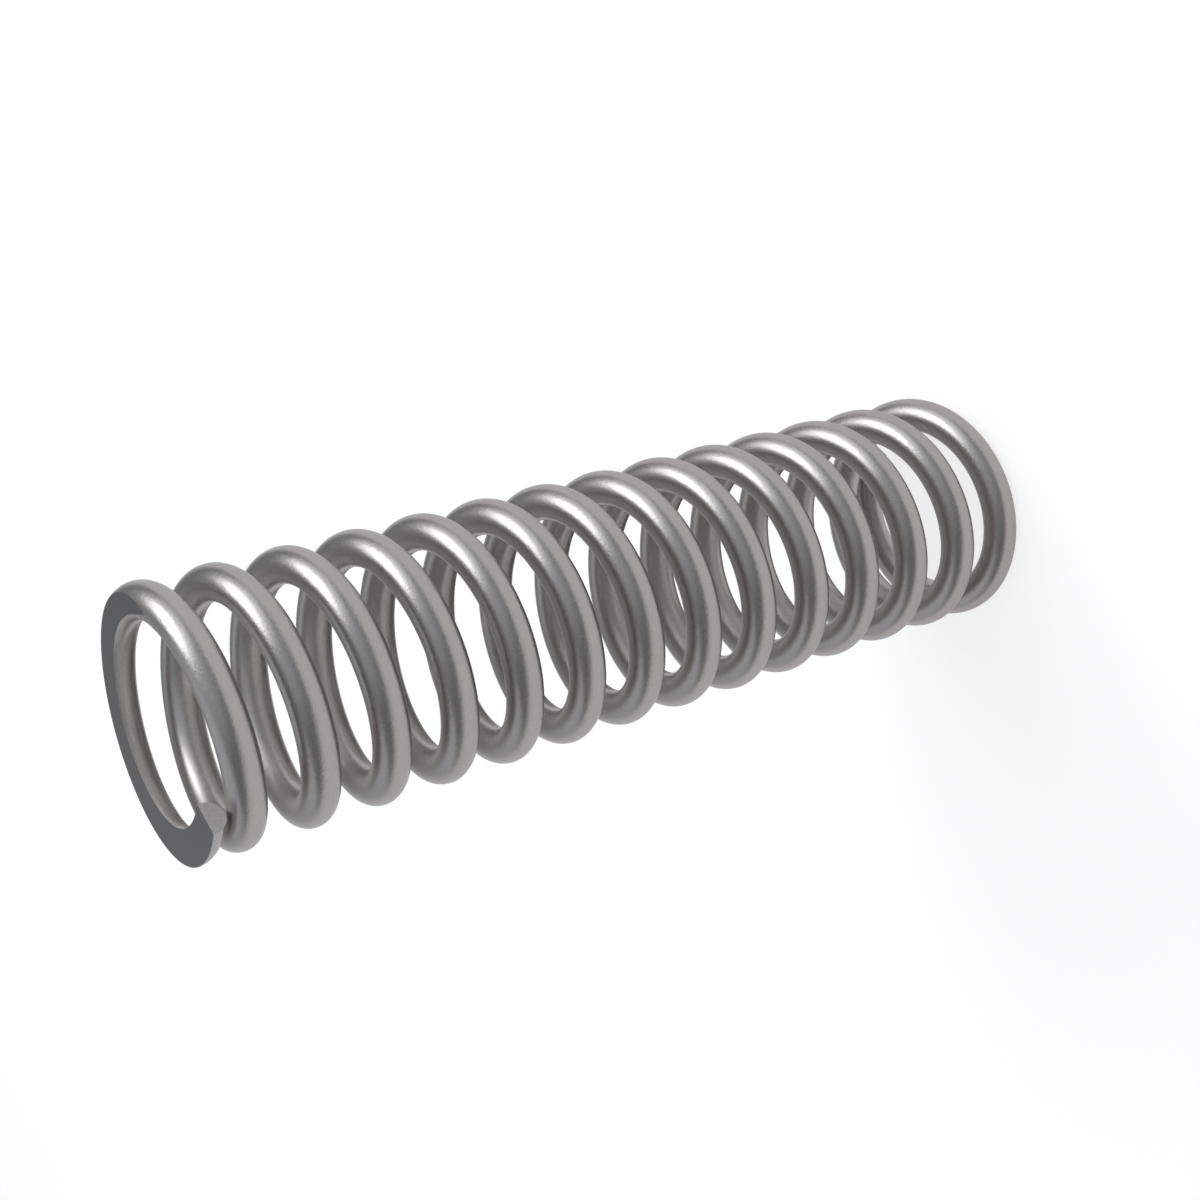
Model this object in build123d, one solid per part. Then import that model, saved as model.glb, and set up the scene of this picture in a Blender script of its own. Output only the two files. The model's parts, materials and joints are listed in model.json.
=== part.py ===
from build123d import *

import os
from math import cos, pi, radians, sin

# A small helical compression spring, coiled right-hand from one length of round drawn steel wire.
# Its first and last turns close onto their neighbours and are ground flat, square to the axis,
# so it stands on end: the lower ground face lies on z = 0 and the axis of the coil is +Z.
# All lengths are in millimetres and all angles in degrees.

# Wire and coil
wire_diameter = 1.6
coil_diameter = 10.0  # mean diameter, measured across the coil between wire centres
free_length = 42.8  # over both ground faces, with no load
total_turns = 14.5  # the odd half turn puts the two tips on opposite sides

# Closed and ground ends
tip_thickness = 0.8  # what grinding leaves of the wire at each tip
tip_gap = 0.1  # daylight between each tip and the turn it closes onto
lower_tip_angle = 0.0  # where the wire starts, round from +X

# How finely the centre line of the wire is drawn
points_per_turn = 16

wire_radius = wire_diameter / 2
coil_radius = coil_diameter / 2
ends = 2
tip_height = tip_thickness - wire_radius
closing_rise = wire_diameter + tip_gap
working_pitch = (free_length - ends * (tip_height + closing_rise)) / (total_turns - ends)
tip_pitch = 2 * closing_rise - working_pitch


def height_over_face(turns_in):
    """Height of the wire centre over the ground face of its own end, so many turns in from the tip.

    In the closed end turn the pitch swells smoothly from tip_pitch to working_pitch, so that one
    full turn climbs by closing_rise and passes just clear of the tip. After that it is constant.
    """
    if turns_in < 1:
        swell = turns_in**3 - turns_in**4 / 2
        return tip_height + tip_pitch * turns_in + (working_pitch - tip_pitch) * swell
    return tip_height + closing_rise + working_pitch * (turns_in - 1)


def wire_centre(turn):
    """Point on the centre line, counted in turns from the lower tip. The two ends are alike."""
    angle = radians(lower_tip_angle + 360 * turn)
    height = height_over_face(turn)
    if turn > total_turns / 2:
        height = free_length - height_over_face(total_turns - turn)
    return Vector(coil_radius * cos(angle), coil_radius * sin(angle), height)


def tip_direction(turn):
    """Direction in which the wire runs at either tip."""
    angle = radians(lower_tip_angle + 360 * turn)
    run = 2 * pi * coil_radius
    return Vector(-run * sin(angle), run * cos(angle), tip_pitch)


def centre_line():
    """The whole length of wire as one smooth curve, from the lower tip up to the upper one."""
    steps = round(total_turns * points_per_turn)
    points = [wire_centre(total_turns * step / steps) for step in range(steps + 1)]
    directions = [tip_direction(0), tip_direction(total_turns)]
    return Spline(points, tangents=directions, tangent_scalars=(1, 1))


def round_section(start):
    """The round wire, cut square at its tip. Four quarter arcs keep each long face simple."""
    quarters = [CenterArc((0, 0), wire_radius, 90 * quarter, 90) for quarter in range(4)]
    return start * make_face(quarters)


def coiled_wire():
    """The wire as it leaves the coiling machine, with both tips cut square and not yet ground."""
    path = centre_line()
    start = Plane(origin=path @ 0, z_dir=path % 0)
    return sweep(round_section(start), path=path, is_frenet=True)


def ground_spring():
    """The coiled wire, with all that lies outside the two parallel ground faces taken off."""
    width = coil_diameter + 2 * wire_diameter
    between_wheels = Pos(0, 0, free_length / 2) * Box(width, width, free_length)
    return coiled_wire() & between_wheels


spring = ground_spring()
os.makedirs("parts", exist_ok=True)
export_step(spring, "parts/coil_spring.step")

print("outside diameter", coil_diameter + wire_diameter)
print("inside diameter", coil_diameter - wire_diameter)
print("working pitch", round(working_pitch, 3), "gap between turns", round(working_pitch - wire_diameter, 3))
print("volume", round(spring.volume, 2), "solids", len(spring.solids()), "valid", spring.is_valid)
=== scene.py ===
import json
import math
import bmesh
import bpy
import numpy as np
from mathutils import Matrix, Vector


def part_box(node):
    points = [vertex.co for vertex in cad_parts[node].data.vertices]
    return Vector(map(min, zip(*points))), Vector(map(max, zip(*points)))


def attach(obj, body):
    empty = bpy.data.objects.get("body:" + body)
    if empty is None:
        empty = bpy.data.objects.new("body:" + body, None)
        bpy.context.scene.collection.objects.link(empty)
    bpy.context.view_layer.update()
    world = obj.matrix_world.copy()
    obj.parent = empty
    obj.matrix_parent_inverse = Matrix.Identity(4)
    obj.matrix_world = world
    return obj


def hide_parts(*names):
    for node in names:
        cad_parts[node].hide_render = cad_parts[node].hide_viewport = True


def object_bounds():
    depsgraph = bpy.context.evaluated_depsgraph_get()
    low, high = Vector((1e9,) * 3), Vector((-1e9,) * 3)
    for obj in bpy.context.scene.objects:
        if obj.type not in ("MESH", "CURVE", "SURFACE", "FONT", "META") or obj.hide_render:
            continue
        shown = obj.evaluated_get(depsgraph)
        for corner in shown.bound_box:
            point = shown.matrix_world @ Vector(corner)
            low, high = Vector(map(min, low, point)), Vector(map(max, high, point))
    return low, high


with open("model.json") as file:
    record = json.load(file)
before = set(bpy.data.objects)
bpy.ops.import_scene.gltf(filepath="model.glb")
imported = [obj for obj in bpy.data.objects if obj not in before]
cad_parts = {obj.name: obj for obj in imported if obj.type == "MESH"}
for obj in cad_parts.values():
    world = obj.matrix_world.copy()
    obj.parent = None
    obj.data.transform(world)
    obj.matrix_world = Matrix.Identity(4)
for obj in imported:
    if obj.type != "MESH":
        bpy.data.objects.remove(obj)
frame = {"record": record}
cadLow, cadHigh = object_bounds()
cadCentre = (cadLow + cadHigh) / 2
print("frame loaded")

mm = 0.001
scene = bpy.context.scene
scene.view_settings.view_transform = "Standard"


def linearColour(hexColour):
    # sRGB hex to the linear values that the shaders take
    channels = [int(hexColour[i:i + 2], 16) / 255 for i in (1, 3, 5)]
    linear = [c / 12.92 if c <= 0.04045 else ((c + 0.055) / 1.055) ** 2.4 for c in channels]
    return (*linear, 1.0)


def direction(azimuth, elevation):
    # degrees round from +X, and degrees up from the floor
    a, e = math.radians(azimuth), math.radians(elevation)
    return Vector((math.cos(a) * math.cos(e), math.sin(a) * math.cos(e), math.sin(e)))


def addNode(tree, kind, settings=None, **inputs):
    # settings are the node's own choices; an input, named or numbered as in0, takes a value or a link
    node = tree.nodes.new(kind)
    for name, value in (settings or {}).items():
        setattr(node, name, value)
    for name, value in inputs.items():
        key = int(name[2:]) if name[:2] == "in" and name[2:].isdigit() else name.replace("_", " ")
        if isinstance(value, bpy.types.NodeSocket):
            tree.links.new(value, node.inputs[key])
        else:
            node.inputs[key].default_value = value
    return node


def newMaterial(name):
    material = bpy.data.materials.new(name)
    material.use_nodes = True
    material.node_tree.nodes.clear()
    return material, material.node_tree


def grainScale(millimetres):
    # a noise texture's scale for features of this size
    return 1 / (millimetres * mm)


noiseLow, noiseHigh = 0.3, 0.7  # nearly all of a noise texture's values lie between these


def shadeByNoise(tree, noise, dark, light):
    # a colour that goes from dark to light as the noise rises
    tone = addNode(tree, "ShaderNodeMapRange", None, Value=noise, From_Min=noiseLow, From_Max=noiseHigh)
    return addNode(tree, "ShaderNodeMix", {"data_type": "RGBA"}, Factor=tone.outputs[0],
                   A=linearColour(dark), B=linearColour(light)).outputs["Result"]


def coverInMetal(tree, colour, roughness, bump, edgeTint=1.0):
    shader = addNode(tree, "ShaderNodeBsdfPrincipled", None, Base_Color=colour, Metallic=1.0,
                     Roughness=roughness, Specular_Tint=(edgeTint, edgeTint, edgeTint, 1),
                     Normal=bump.outputs[0])
    addNode(tree, "ShaderNodeOutputMaterial", None, Surface=shader.outputs["BSDF"])


# Drawn spring steel wire, cold coiled and stress relieved: a satin grey skin with a fine tooth from the
# die and the heat, so highlights are broad and their edges break up into small specks. Towards the inner
# side the wire is painted paler, painted light for the light the neighbouring turns shut out, and is
# rougher, so it looks duller and evener than the outside.
# Sizes and depths in the finishes are in millimetres.
wireFinish = {
    "light": "#a8a4a2",
    "dark": "#a29e9c",
    # painted light: a paler copy of the wire's colour for its inner side, which the neighbouring turns
    # shade
    "paintedLightPale": "#bcb8b5",
    "paintedLightDim": "#b0aca9",
    "roughness": 0.31,
    "roughnessSwing": 0.09,
    "innerSideRoughness": 0.37,
    "innerSideStart": 0.45,  # the painted light and the higher roughness start here, measured from the wire's centre away from the coil's axis
    "innerSideFull": -0.25,  # and are whole from here to the wire's inner side
    "edgeTint": 0.8,  # steel reflects a little less than an ideal metal at a glancing angle
    "speckSize": 0.2,
    "speckDetail": 3.0,  # how many finer noises lie on top
    "speckSharpness": 0.75,  # and how much of each finer one shows
    "grainSize": 0.1,
    "grainDetail": 2.0,
    "grainSharpness": 0.6,
    "grainDepth": 0.0075,
    "drawLineWidth": 0.06,
    "drawLineLength": 2.5,
    "drawLineDetail": 2.0,
    "drawLineDepth": 0.0003,
}


def drawnWireMaterial():
    f = wireFinish
    material, tree = newMaterial("drawnSpringSteelWire")
    place = addNode(tree, "ShaderNodeAttribute", {"attribute_name": "wireSpace"}).outputs["Vector"]
    outward = addNode(tree, "ShaderNodeSeparateXYZ", None, Vector=place).outputs["X"]
    # how far towards the inner side the painted light and the higher roughness reach
    paintedLightAndDullness = addNode(tree, "ShaderNodeMapRange", {"interpolation_type": "SMOOTHSTEP"}, Value=outward,
                   From_Min=f["innerSideStart"] * mm, From_Max=f["innerSideFull"] * mm).outputs[0]

    specks = addNode(tree, "ShaderNodeTexNoise", None, Vector=place, Scale=grainScale(f["speckSize"]),
                     Detail=f["speckDetail"], Roughness=f["speckSharpness"]).outputs["Fac"]
    wireOwnColour = shadeByNoise(tree, specks, f["dark"], f["light"])
    # painted light: the paler inner-side colour, standing in for light the turns shut out
    paintedLightColour = shadeByNoise(tree, specks, f["paintedLightDim"], f["paintedLightPale"])
    colour = addNode(tree, "ShaderNodeMix", {"data_type": "RGBA"}, Factor=paintedLightAndDullness, A=wireOwnColour, B=paintedLightColour)

    grain = addNode(tree, "ShaderNodeTexNoise", None, Vector=place, Scale=grainScale(f["grainSize"]),
                    Detail=f["grainDetail"], Roughness=f["grainSharpness"]).outputs["Fac"]
    outerRoughness = addNode(tree, "ShaderNodeMapRange", None, Value=grain, From_Min=noiseLow,
                            From_Max=noiseHigh, To_Min=f["roughness"] - f["roughnessSwing"] / 2,
                            To_Max=f["roughness"] + f["roughnessSwing"] / 2).outputs[0]
    skinRoughness = addNode(tree, "ShaderNodeMapRange", None, Value=paintedLightAndDullness, To_Min=outerRoughness,
                            To_Max=f["innerSideRoughness"])

    bump = addNode(tree, "ShaderNodeBump", None, Height=grain, Strength=1.0,
                   Distance=f["grainDepth"] * mm)
    stretched = addNode(tree, "ShaderNodeMapping", None, Vector=place,
                        Scale=(1, 1, f["drawLineWidth"] / f["drawLineLength"]))
    lines = addNode(tree, "ShaderNodeTexNoise", None, Vector=stretched.outputs[0],
                    Scale=grainScale(f["drawLineWidth"]), Detail=f["drawLineDetail"])
    bump = addNode(tree, "ShaderNodeBump", None, Height=lines.outputs["Fac"], Strength=1.0,
                   Distance=f["drawLineDepth"] * mm, Normal=bump.outputs[0])

    coverInMetal(tree, colour.outputs["Result"], skinRoughness.outputs[0], bump, f["edgeTint"])
    return material


# The flat end, ground on a disc grinder: an even grey, darkened as painted shade for the dark that the
# flat face reflects, with fine straight scratches that all run one way, too shallow to catch the light one
# by one.
groundFaceAndPaintedShade = {
    # painted shade: both greys are darkened for the dark that the flat face reflects
    "light": "#757475",
    "dark": "#717071",
    "roughness": 0.32,
    "scratchWidth": 0.04,
    "scratchLength": 3.0,
    "scratchDetail": 3.0,
    "scratchDepth": 0.0006,
    "scratchTurn": 35,  # degrees that the scratches are turned from X
}


def groundFaceMaterial():
    f = groundFaceAndPaintedShade
    material, tree = newMaterial("groundSpringSteel")
    place = addNode(tree, "ShaderNodeTexCoord").outputs["Object"]
    turned = addNode(tree, "ShaderNodeMapping", None, Vector=place,
                     Rotation=(0, 0, math.radians(f["scratchTurn"])),
                     Scale=(f["scratchWidth"] / f["scratchLength"], 1, 1))
    scratches = addNode(tree, "ShaderNodeTexNoise", None, Vector=turned.outputs[0],
                        Scale=grainScale(f["scratchWidth"]), Detail=f["scratchDetail"]).outputs["Fac"]
    bump = addNode(tree, "ShaderNodeBump", None, Height=scratches, Strength=1.0,
                   Distance=f["scratchDepth"] * mm)
    coverInMetal(tree, shadeByNoise(tree, scratches, f["dark"], f["light"]), f["roughness"], bump)
    return material


# The wire's own end, cut off by the coiler's knife: torn metal with a coarse bright grain.
shearedFinish = {
    "light": "#bebcba",
    "dark": "#aaa8a7",
    "roughness": 0.42,
    "grainSize": 0.12,
    "grainDetail": 3.0,
    "grainSharpness": 0.65,
    "grainDepth": 0.008,
}


def shearedEndMaterial():
    f = shearedFinish
    material, tree = newMaterial("shearedSpringSteel")
    place = addNode(tree, "ShaderNodeTexCoord").outputs["Object"]
    grain = addNode(tree, "ShaderNodeTexNoise", None, Vector=place, Scale=grainScale(f["grainSize"]),
                    Detail=f["grainDetail"], Roughness=f["grainSharpness"]).outputs["Fac"]
    bump = addNode(tree, "ShaderNodeBump", None, Height=grain, Strength=1.0,
                   Distance=f["grainDepth"] * mm)
    coverInMetal(tree, shadeByNoise(tree, grain, f["dark"], f["light"]), f["roughness"], bump)
    return material


# The spring: one wire, wound right-handed, with even working turns and one closing turn at each end
# that comes down on its neighbour and is ground flat.
springShape = {
    "totalTurns": 14.5,
    "closingTurns": 2,  # one at each end
    "tipThickness": 0.8 * mm,  # what the grinding leaves of the wire at its tip
    "tipGap": 0.1 * mm,  # air between the tip and the turn that it closes on
    "lowerTipAngle": 0.0,  # degrees round from +X
    "ringsPerTurn": 112,
    "pointsAround": 54,
    "pointsAcrossFace": 8,
}
wireSlot, groundSlot, shearedSlot = 0, 1, 2


def mountRadius(name):
    mounts = frame["record"]["mounts"]
    return next(m["dims"]["r_mm"] for m in mounts if m["name"] == name) * mm


def springSizes():
    sizes = dict(springShape)
    inside, outside = mountRadius("guide_rod"), mountRadius("guide_hole")
    low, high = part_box("coil_spring")
    sizes["wireRadius"] = (outside - inside) / 2
    sizes["coilRadius"] = (outside + inside) / 2
    sizes["lowerFace"], sizes["upperFace"] = low.z, high.z
    sizes["tipHeight"] = sizes["tipThickness"] - sizes["wireRadius"]
    sizes["closingRise"] = 2 * sizes["wireRadius"] + sizes["tipGap"]
    sizes["workingTurns"] = sizes["totalTurns"] - sizes["closingTurns"]
    closingLength = sizes["closingTurns"] * (sizes["tipHeight"] + sizes["closingRise"])
    sizes["workingPitch"] = (high.z - low.z - closingLength) / sizes["workingTurns"]
    sizes["tipPitch"] = 2 * sizes["closingRise"] - sizes["workingPitch"]
    return sizes


def heightOverFace(s, turns):
    # the closing turn starts almost level and steepens smoothly to the working pitch
    closing = s["tipHeight"] + s["tipPitch"] * turns
    closing = closing + (s["workingPitch"] - s["tipPitch"]) * (turns ** 3 - turns ** 4 / 2)
    working = s["tipHeight"] + s["closingRise"] + s["workingPitch"] * (turns - 1)
    return np.where(turns < 1, closing, working)


def wireDirections(s, angles, heights):
    # the wire's centre line, and at each point the ways out from the coil's axis and up across the wire
    level = np.zeros(len(angles))
    outward = np.stack([np.cos(angles), np.sin(angles), level], 1)
    centres = outward * s["coilRadius"] + np.stack([level, level, heights], 1)
    sideways = np.stack([-outward[:, 1], outward[:, 0], level], 1) * s["coilRadius"]
    tangents = sideways + np.stack([level, level, np.gradient(heights, angles)], 1)
    tangents /= np.linalg.norm(tangents, axis=1)[:, None]
    return centres, outward, np.cross(outward, tangents)


def windWire(s):
    # rings of points round the wire; near a ground face a ring stops at the face's two edges
    ringCount = int(round(s["totalTurns"] * s["ringsPerTurn"])) + 1
    turns = np.linspace(0, s["totalTurns"], ringCount)
    angles = math.radians(s["lowerTipAngle"]) + 2 * math.pi * turns
    overLower = heightOverFace(s, turns)
    underUpper = heightOverFace(s, s["totalTurns"] - turns)
    isLower = turns < s["totalTurns"] / 2
    heights = np.where(isLower, s["lowerFace"] + overLower, s["upperFace"] - underUpper)
    centres, outward, upward = wireDirections(s, angles, heights)

    # where each ring starts and ends, as angles round the wire from the outward side
    reach = s["wireRadius"] * upward[:, 2]
    lowerOpening = np.arcsin(np.clip(overLower / reach, -1, 1))
    upperOpening = np.arcsin(np.clip(underUpper / reach, -1, 1))
    start = np.where(isLower, -lowerOpening, math.pi - upperOpening)
    end = np.where(isLower, math.pi + lowerOpening, 2 * math.pi + upperOpening)
    isWhole = (overLower >= reach) & (underUpper >= reach)

    # whole rings close at a seam, which moves from the wire's underside to its top on the way up
    seamShift = math.pi * np.clip((turns - 1) / s["workingTurns"], 0, 1)
    start = np.where(isWhole, seamShift - math.pi / 2, start)
    end = np.where(isWhole, start + 2 * math.pi, end)
    around = start[:, None] + (end - start)[:, None] * np.linspace(0, 1, s["pointsAround"] + 1)
    outPart, upPart = np.cos(around), np.sin(around)
    rings = outPart[..., None] * outward[:, None] + upPart[..., None] * upward[:, None]
    points = centres[:, None] + s["wireRadius"] * rings

    # the same points as if the wire lay straight, so that the finish follows the wire
    steps = np.linalg.norm(np.diff(centres, axis=0), axis=1)
    alongWire = np.broadcast_to(np.concatenate([[0], np.cumsum(steps)])[:, None], around.shape)
    straight = np.stack([outPart * s["wireRadius"], upPart * s["wireRadius"], alongWire], 2)
    return points, straight, isWhole, isLower


def joinWire(s):
    # all points, their places on the straightened wire, the faces between them and each face's material
    points, straight, isWhole, isLower = windWire(s)
    ringCount, ringSize = points.shape[:2]
    blocks, straightBlocks, faces, slots = [points.reshape(-1, 3)], [straight.reshape(-1, 3)], [], []
    wire = np.arange(ringCount * ringSize).reshape(ringCount, ringSize)
    wire[isWhole, -1] = wire[isWhole, 0]
    made = wire.size

    def addFaces(newFaces, slot):
        faces.extend(newFaces)
        slots.extend([slot] * len(newFaces))

    for a, b in zip(wire[:-1], wire[1:]):
        addFaces([(a[k], a[k + 1], b[k + 1], b[k]) for k in range(ringSize - 1)], wireSlot)

    across = np.linspace(0, 1, s["pointsAcrossFace"] + 1)[1:-1, None]
    for isEnd, tip, onward in ((isLower & ~isWhole, 0, 1), (~isLower & ~isWhole, -1, -1)):
        rows = np.nonzero(isEnd)[0][::onward]  # from the tip to where the ground face runs out
        for source, target in ((points, blocks), (straight, straightBlocks)):
            edgeA, edgeB = source[rows, :1], source[rows, -1:]
            target.append((edgeA + (edgeB - edgeA) * across).reshape(-1, 3))
        inner = made + np.arange(len(rows) * len(across)).reshape(len(rows), -1)
        made += inner.size
        flat = np.concatenate([wire[rows, :1], inner, wire[rows, -1:]], 1)
        for a, b in zip(flat[:-1], flat[1:]):
            addFaces([(a[k], b[k], b[k + 1], a[k + 1]) for k in range(len(a) - 1)], groundSlot)
        runOut = wire[rows[-1] + onward, 0]
        addFaces([(a, runOut, b) for a, b in zip(flat[-1][:-1], flat[-1][1:])], groundSlot)
        addFaces([(*wire[tip][::-1], *flat[0][1:-1])], shearedSlot)
    faces = [tuple(map(int, face)) for face in faces]
    return np.concatenate(blocks), np.concatenate(straightBlocks), faces, slots


def buildSpringMesh(s):
    points, straight, faces, slots = joinWire(s)
    mesh = bpy.data.meshes.new("wound_spring")
    mesh.from_pydata(points.tolist(), [], faces)
    placed = mesh.attributes.new("wireSpace", "FLOAT_VECTOR", "POINT")
    placed.data.foreach_set("vector", straight.astype(np.float32).ravel())
    mesh.polygons.foreach_set("material_index", slots)
    mesh.polygons.foreach_set("use_smooth", [slot == wireSlot for slot in slots])

    # drop the points left over at closed seams, and keep the edges between two finishes sharp
    work = bmesh.new()
    work.from_mesh(mesh)
    bmesh.ops.delete(work, geom=[v for v in work.verts if not v.link_faces], context="VERTS")
    bmesh.ops.recalc_face_normals(work, faces=work.faces)
    for edge in work.edges:
        edge.smooth = len({face.material_index for face in edge.link_faces}) == 1
    work.to_mesh(mesh)
    work.free()
    return mesh


def buildSpring():
    spring = bpy.data.objects.new("wound_spring", buildSpringMesh(springSizes()))
    scene.collection.objects.link(spring)
    for material in (drawnWireMaterial(), groundFaceMaterial(), shearedEndMaterial()):
        spring.data.materials.append(material)
    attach(spring, "root")
    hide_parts("coil_spring")
    print("spring wound:", len(spring.data.polygons), "faces")


buildSpring()


# White paper floor. It shows white to the camera and in the metal, and keeps a faint shadow.
floorSetup = {
    "width": 20.0,  # metres, so that its edge is far out of sight
    "paper": "#8c8c8c",
    "glow": 0.77,  # what the camera and reflections see on top of the lit paper
}


def buildFloor():
    material, tree = newMaterial("whitePaper")
    path = addNode(tree, "ShaderNodeLightPath").outputs
    seen = addNode(tree, "ShaderNodeMath", {"operation": "ADD"}, in0=path["Is Camera Ray"],
                   in1=path["Is Glossy Ray"]).outputs[0]
    seen = addNode(tree, "ShaderNodeMath", {"operation": "ADD", "use_clamp": True}, in0=seen,
                   in1=path["Is Transmission Ray"]).outputs[0]
    glow = addNode(tree, "ShaderNodeMath", {"operation": "MULTIPLY"}, in0=seen, in1=floorSetup["glow"])
    shader = addNode(tree, "ShaderNodeBsdfPrincipled", None, Base_Color=linearColour(floorSetup["paper"]),
                     Roughness=1.0, Specular_IOR_Level=0.0, Emission_Color=(1, 1, 1, 1),
                     Emission_Strength=glow.outputs[0])
    addNode(tree, "ShaderNodeOutputMaterial", None, Surface=shader.outputs["BSDF"])
    half = floorSetup["width"] / 2
    corners = [(-half, -half, 0), (half, -half, 0), (half, half, 0), (-half, half, 0)]
    mesh = bpy.data.meshes.new("floor")
    mesh.from_pydata(corners, [], [(0, 1, 2, 3)])
    mesh.materials.append(material)
    floor = bpy.data.objects.new("floor", mesh)
    scene.collection.objects.link(floor)


buildFloor()
print("floor laid")

# Soft studio light: one round softbox, and pale walls with wide soft glows on them. Angles are in degrees
# as seen from the spring, and a level is how bright a thing looks beside white paper.
softbox = {
    "distance": 500 * mm,
    "azimuth": 334,
    "elevation": 51,
    "width": 43,
    "level": 2.85,
    "tint": "#fbfeff",
}
studioWall = {"colour": "#f8fdff", "level": 0.27}
wallGlows = {
    "besideSoftbox": {"azimuth": 319, "elevation": 36, "inner": 20, "outer": 40,
                      "level": 0.96, "tint": "#f8fdff"},
    "overCamera": {"azimuth": 275, "elevation": 55, "inner": 8, "outer": 67,
                   "level": 0.38, "tint": "#f1f6ff"},
    "opposite": {"azimuth": 91, "elevation": 45, "inner": 21, "outer": 42,
                 "level": 0.52, "tint": "#f1f6ff"},
}
# the white paper also sweeps a little way up the wall on one side
sweepGlow = {"azimuth": 116, "inner": 34, "outer": 110, "top": 16, "level": 0.74, "tint": "#fffdfa"}


def buildSoftbox():
    light = bpy.data.lights.new("softbox", "AREA")
    light.shape = "DISK"
    light.size = 2 * softbox["distance"] * math.tan(math.radians(softbox["width"] / 2))
    light.energy = softbox["level"] * math.pi * (math.pi * light.size ** 2 / 4)
    light.color = linearColour(softbox["tint"])[:3]
    holder = bpy.data.objects.new("softbox", light)
    away = direction(softbox["azimuth"], softbox["elevation"])
    turned = away.to_track_quat("Z", "Y").to_matrix().to_4x4()
    holder.matrix_world = Matrix.Translation(cadCentre + away * softbox["distance"]) @ turned
    scene.collection.objects.link(holder)


def buildWorld():
    world = bpy.data.worlds.new("studioWall")
    scene.world = world
    world.use_nodes = True
    tree = world.node_tree
    looking = addNode(tree, "ShaderNodeTexCoord").outputs["Generated"]

    def near(towards, axis, inner, outer):
        # 1 within the inner angle of the axis, falling smoothly to 0 at the outer angle
        facing = addNode(tree, "ShaderNodeVectorMath", {"operation": "DOT_PRODUCT"}, in0=towards, in1=axis)
        return addNode(tree, "ShaderNodeMapRange", {"interpolation_type": "SMOOTHSTEP"},
                       Value=facing.outputs["Value"], From_Min=math.cos(math.radians(outer)),
                       From_Max=math.cos(math.radians(inner))).outputs[0]

    def addGlow(total, amount, glow):
        tint = [channel * glow["level"] for channel in linearColour(glow["tint"])[:3]]
        return addNode(tree, "ShaderNodeVectorMath", {"operation": "MULTIPLY_ADD"}, in0=amount, in1=tint,
                       in2=total).outputs[0]

    wall = [channel * studioWall["level"] for channel in linearColour(studioWall["colour"])[:3]]
    total = addNode(tree, "ShaderNodeCombineXYZ", None, X=wall[0], Y=wall[1], Z=wall[2]).outputs[0]
    for glow in wallGlows.values():
        axis = direction(glow["azimuth"], glow["elevation"])
        total = addGlow(total, near(looking, axis, glow["inner"], glow["outer"]), glow)

    sideways = addNode(tree, "ShaderNodeVectorMath", {"operation": "MULTIPLY"}, in0=looking, in1=(1, 1, 0))
    sideways = addNode(tree, "ShaderNodeVectorMath", {"operation": "NORMALIZE"}, in0=sideways.outputs[0])
    around = near(sideways.outputs[0], direction(sweepGlow["azimuth"], 0), sweepGlow["inner"],
                  sweepGlow["outer"])
    up = addNode(tree, "ShaderNodeSeparateXYZ", None, Vector=looking).outputs["Z"]
    rising = addNode(tree, "ShaderNodeMapRange", {"interpolation_type": "SMOOTHSTEP"}, Value=up,
                     From_Min=math.sin(math.radians(sweepGlow["top"])), From_Max=0.0).outputs[0]
    sweep = addNode(tree, "ShaderNodeMath", {"operation": "MULTIPLY"}, in0=around, in1=rising)
    total = addGlow(total, sweep.outputs[0], sweepGlow)
    tree.links.new(total, tree.nodes["Background"].inputs["Color"])


buildSoftbox()
buildWorld()
print("softbox and walls lit")

# The camera looks down along the spring from its upper end, rolled so that the axis lies across the view.
cameraSetup = {
    "azimuth": 231.3,
    "elevation": 31.23,
    "roll": -105.86,
    "distance": 78.8 * mm,
    "lens": 51.43,
    "nearest": 1 * mm,  # anything closer than this isn't drawn
}


def buildCamera():
    c = cameraSetup
    back = direction(c["azimuth"], c["elevation"])
    level = Vector((0, 0, 1)).cross(back).normalized()
    roll = math.radians(c["roll"])
    right = level * math.cos(roll) + back.cross(level) * math.sin(roll)
    place = cadCentre + back * c["distance"]
    camera = bpy.data.objects.new("camera", bpy.data.cameras.new("camera"))
    camera.data.lens = c["lens"]
    camera.data.clip_start = c["nearest"]
    camera.data.clip_end = 2 * floorSetup["width"]
    turned = Matrix((right, back.cross(right), back)).transposed().to_4x4()
    camera.matrix_world = Matrix.Translation(place) @ turned
    scene.collection.objects.link(camera)
    scene.camera = camera


buildCamera()
print("camera set")
